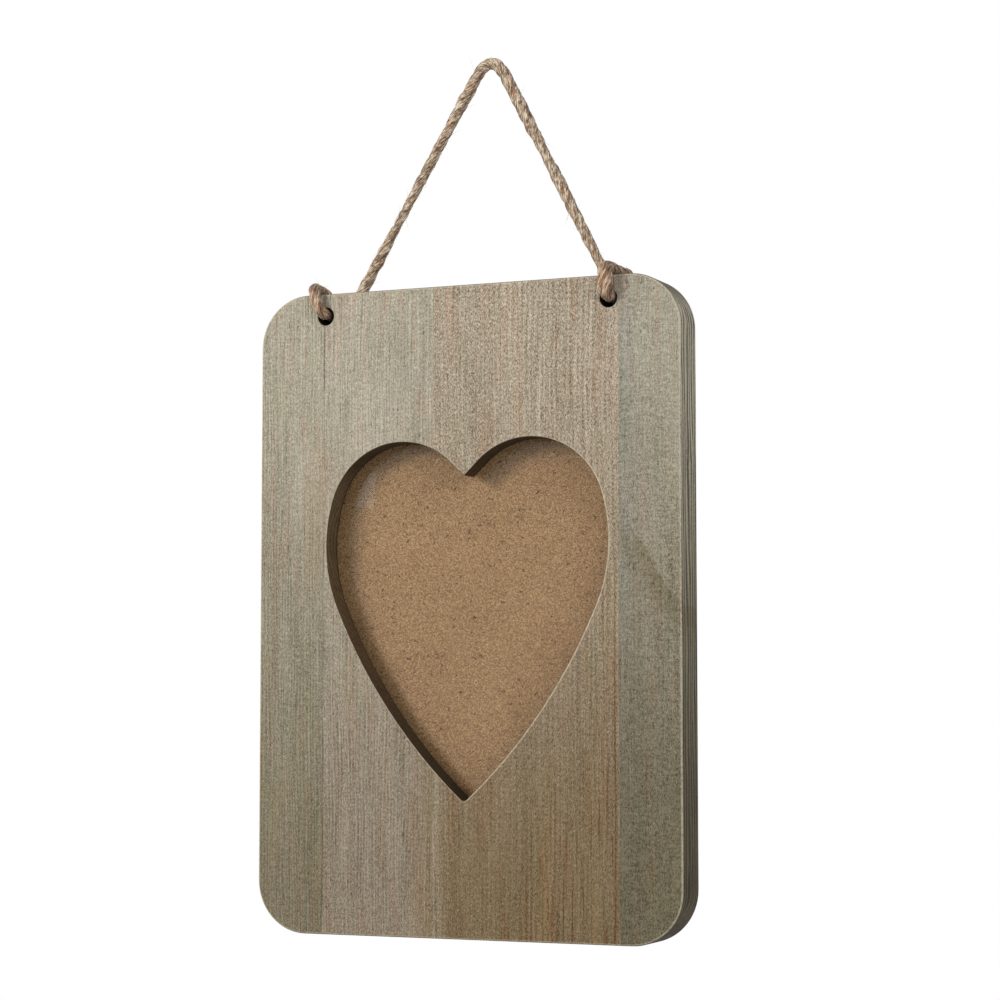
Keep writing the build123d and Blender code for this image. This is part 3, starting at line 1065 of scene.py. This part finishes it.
def knot_routes(side):
    """The wrapped end with its tail, and the strand that runs through the turns to the hole."""
    sign = -1 if side == "left" else 1
    loop = LEFT_LOOP_ROUTE if side == "left" else RIGHT_LOOP_ROUTE
    strand_end = Vector(STRAND_ROUTE[0] if side == "left" else STRAND_ROUTE[-1])
    centre = Vector(KNOT_CENTRES[side])
    axis = (strand_end - centre).normalized()
    start = Vector(loop[-1])
    arm = (start - centre) - axis * (start - centre).dot(axis)
    arm = arm.normalized()
    other = axis.cross(arm)
    wrap = [start.copy()]
    for index in range(1, KNOT_TURNS * TURN_POINTS + 1):
        angle = sign * FULL_TURN * index / TURN_POINTS
        climb = KNOT_TURN_PITCH * (0.5 * KNOT_TURNS - index / TURN_POINTS)
        around = arm * math.cos(angle) + other * math.sin(angle)
        wrap.append(centre + axis * climb + around * KNOT_TURN_RADIUS)
    out = Vector((sign * TAIL_OUT, TAIL_BACK, TAIL_DOWN)).normalized()
    bend = Vector((sign * TAIL_BEND_OUT, TAIL_BEND_BACK, 0.0))
    last = wrap[-1]
    wrap.append(last + out * TAIL_LENGTH * 0.35)
    wrap.append(last + out * TAIL_LENGTH * 0.7 + bend)
    wrap.append(last + out * TAIL_LENGTH)
    hole = Vector(loop[0])
    core = [strand_end, centre + axis * CORE_CLIMB, centre, (centre + hole) / 2 + CORE_SAG, hole]
    return wrap, core


# Loose fibres: short fuzz, then longer hairs, with how each leans, bends and lifts off the twine
FUZZ_COUNT = 1100
FUZZ_LENGTHS = (0.5 * MM, 1.8 * MM)
HAIR_COUNT = 130
HAIR_LENGTHS = (2 * MM, 6.5 * MM)
HAIR_RADIUS = 0.055 * MM
HAIR_TIP = 1.05
HAIR_STEPS = 5
HAIR_SIDES = 3
HAIR_ROOT_SHARE = 0.42
HAIR_LEANS = (-0.5, 0.7)
HAIR_BENDS = (-0.9, 0.9)
HAIR_LIFTS = (0.15, 0.8)


def add_hair(work, lay, root, along, outward, length, draw):
    """One thin curved fibre with three sides that ends in a point."""
    side = along.cross(outward).normalized()
    bend = draw.uniform(*HAIR_BENDS)
    lift = draw.uniform(*HAIR_LIFTS)
    rows = []
    for step in range(HAIR_STEPS):
        share = step / (HAIR_STEPS - 1)
        centre = root + along * length * share + outward * length * lift * share ** 1.5
        centre = centre + side * length * bend * share ** 2 * 0.5
        thickness = HAIR_RADIUS * (HAIR_TIP - share)
        row = []
        for corner in range(HAIR_SIDES):
            angle = FULL_TURN * corner / HAIR_SIDES
            spoke = side * math.cos(angle) + outward * math.sin(angle)
            row.append(work.verts.new(centre + spoke * thickness))
        rows.append(row)
    tone = draw.random()
    for first, second in zip(rows, rows[1:]):
        for corner in range(HAIR_SIDES):
            following = (corner + 1) % HAIR_SIDES
            face = work.faces.new((first[corner], first[following], second[following], second[corner]))
            for loop in face.loops:
                loop[lay].uv = (tone, 400 * tone)
    for row, order in ((rows[0], -1), (rows[-1], 1)):
        work.faces.new(row[::order])


def twine_hairs(lines_with_sizes, material):
    """Loose fibres that stand off the twine, and none inside the board."""
    draw = random.Random(RANDOM_SEED)
    work = bmesh.new()
    lay = work.loops.layers.uv.new("lay")
    lengths = [len(line) for line, _ in lines_with_sizes]
    for index in range(FUZZ_COUNT + HAIR_COUNT):
        line, diameter = draw.choices(lines_with_sizes, weights=lengths)[0]
        spot = draw.randrange(2, len(line) - 2)
        tangent = (line[spot + 1] - line[spot - 1]).normalized()
        drawn = Vector((draw.uniform(-1, 1), draw.uniform(-1, 1), draw.uniform(-1, 1)))
        side = tangent.cross(drawn).normalized()
        root = line[spot] + side * diameter * HAIR_ROOT_SHARE
        if FRONT < root.y < REAR and root.z < TOP:
            continue
        way = tangent if draw.random() < 0.5 else -tangent
        lean = (way + side.cross(tangent) * draw.uniform(*HAIR_LEANS)).normalized()
        span = FUZZ_LENGTHS if index < FUZZ_COUNT else HAIR_LENGTHS
        add_hair(work, lay, root, lean, side, draw.uniform(*span), draw)
    bmesh.ops.recalc_face_normals(work, faces=work.faces)
    mesh = made_mesh(work, "twine_fibres")
    mesh.materials.append(material)
    piece = add_object("twine_fibres", mesh)
    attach(piece, "frame")
    return piece


def make_twine():
    """The strand, a loop and a knot on each side, and the loose fibres on all of them."""
    jute = twine_material("jute", JUTE_TINT)
    # The loops and knots are darker and redder: partly rubbed jute, partly painted shade
    rubbed_with_painted_light = twine_material("jute_rubbed_and_shaded", RUBBED_JUTE_SHADE_TINT)
    strand, strand_lines = twine_piece(
        "twine_strand", [(STRAND_ROUTE, TWINE_DIAMETER, 1.0, STRAND_FULLNESS, 0.0)], "hanging_twine", jute
    )
    pieces = []
    lines = [(strand_lines[0], TWINE_DIAMETER)]
    loops = (
        ("left", LEFT_LOOP_ROUTE, LEFT_LOOP_FULLNESS, 2.0),
        ("right", RIGHT_LOOP_ROUTE, RIGHT_LOOP_FULLNESS, 3.0),
    )
    for side, route, profile, seed in loops:
        stretch = (route, SLACK_DIAMETER, seed, profile, 0.0)
        loop_name = "twine_loop_" + side
        loop, loop_lines = twine_piece(loop_name + "_laid", [stretch], loop_name, rubbed_with_painted_light)
        wrap, core = knot_routes(side)
        stretches = [
            (wrap, KNOT_TWINE_DIAMETER, seed + 2, EVEN, TAIL_TAPER),
            (core, KNOT_CORE_DIAMETER, seed + 4, EVEN, 0.0),
        ]
        knot, knot_lines = twine_piece("twine_knot_" + side, stretches, "knot_" + side, rubbed_with_painted_light)
        pieces += [loop, knot]
        lines += [(loop_lines[0], SLACK_DIAMETER), (knot_lines[0], KNOT_TWINE_DIAMETER)]
    hairs = twine_hairs(lines, jute)


GLASS_SEAT_GAP = 0.25 * MM
GLASS_REAR_GAP = 0.05 * MM
GLASS_EDGE = 0.3 * MM
GLASS_CORNER = 5.5 * MM
GLASS_CORNER_STEPS = 8


def pane_outline():
    """X and Z of points round the pane, with its corners rounded."""
    low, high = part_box("glass_pane")
    middle_x, middle_z = (low.x + high.x) / 2, (low.z + high.z) / 2
    half_x, half_z = (high.x - low.x) / 2 - GLASS_CORNER, (high.z - low.z) / 2 - GLASS_CORNER
    outline = []
    for quarter, (sign_x, sign_z) in enumerate(((1, 1), (-1, 1), (-1, -1), (1, -1))):
        for step in range(GLASS_CORNER_STEPS + 1):
            angle = FULL_TURN / 4 * (quarter + step / GLASS_CORNER_STEPS)
            x = middle_x + sign_x * half_x + GLASS_CORNER * math.cos(angle)
            z = middle_z + sign_z * half_z + GLASS_CORNER * math.sin(angle)
            outline.append((x, z))
    return outline


def glass_pane():
    """The pane with ground edges, a hair clear of the wood and the backing."""
    work = bmesh.new()
    outline = pane_outline()
    front = [work.verts.new((x, GLASS_FACE + GLASS_SEAT_GAP, z)) for x, z in outline]
    rear = [work.verts.new((x, GLASS_REAR - GLASS_REAR_GAP, z)) for x, z in outline]
    work.faces.new(front)
    work.faces.new(rear[::-1])
    for index in range(len(outline)):
        following = (index + 1) % len(outline)
        work.faces.new((front[index], rear[index], rear[following], front[following]))
    bmesh.ops.recalc_face_normals(work, faces=work.faces)
    rims = [edge for edge in work.edges if abs(edge.verts[0].co.y - edge.verts[1].co.y) < SAME_PLANE]
    bmesh.ops.bevel(work, geom=rims, offset=GLASS_EDGE, segments=1, affect="EDGES")
    mesh = made_mesh(work, "glass_sheet")
    mesh.materials.append(glass_material())
    piece = add_object("glass_sheet", mesh)
    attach(piece, "frame")
    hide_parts("glass_pane")


def make_camera():
    camera = bpy.data.cameras.new("camera")
    camera.lens = CAMERA_LENS
    camera.sensor_width = CAMERA_SENSOR
    camera.clip_end = CAMERA_CLIP
    holder = add_object("camera", camera)
    holder.location = CAMERA_PLACE
    holder.rotation_euler = (math.pi / 2 + CAMERA_PITCH, 0.0, CAMERA_YAW)
    bpy.context.scene.camera = holder


def area_light(name, place, size, power, mirrored):
    """A square lamp that points at the middle of the board."""
    light = bpy.data.lights.new(name, "AREA")
    light.shape = "SQUARE"
    light.size = size
    light.energy = power
    holder = add_object(name, light)
    holder.location = place
    aim = (board_low + board_high) / 2 - Vector(place)
    holder.rotation_euler = aim.to_track_quat("-Z", "Y").to_euler()
    holder.visible_glossy = mirrored


def make_floor():
    work = bmesh.new()
    half = FLOOR_SIZE / 2
    corners = ((-half, -half), (half, -half), (half, half), (-half, half))
    work.faces.new([work.verts.new((x, y, FLOOR_HEIGHT)) for x, y in corners])
    mesh = made_mesh(work, "floor")
    floor = add_object("floor", mesh)
    tree = new_material("pale_floor")
    mesh.materials.append(tree.finish(tree.surface(colour(FLOOR_COLOUR), FLOOR_ROUGHNESS)))
    floor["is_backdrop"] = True


def make_world():
    """Soft light from all round, and plain white where the camera, mirrors or glass see it."""
    world = bpy.data.worlds.new("studio")
    bpy.context.scene.world = world
    tree = Tree(world)
    soft = tree.fill(tree.add("Background"), WHITE, AMBIENT)
    white = tree.fill(tree.add("Background"), WHITE)
    rays = tree.add("LightPath").outputs
    seen = tree.chain("MAXIMUM", rays["Is Camera Ray"], rays["Is Glossy Ray"], rays["Is Transmission Ray"])
    tree.finish(tree.mix_shaders(seen, soft, white), "OutputWorld")
    bpy.context.scene.view_settings.view_transform = "Standard"


def main():
    make_camera()
    for name, settings in LAMPS.items():
        area_light(name, *settings)
    make_floor()
    make_world()
    make_twine()
    for name in STAVES:
        detail_stave(name)
    dress("backing_board", fibreboard_material())
    glass_pane()
    plated = metal_material("plated_steel", *PLATED_STEEL)
    for side in ("left", "right", "top", "bottom"):
        dress("turn_button_" + side, plated)
    dress("button_screws", metal_material("screw_steel", *SCREW_STEEL))


main()
low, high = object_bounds()
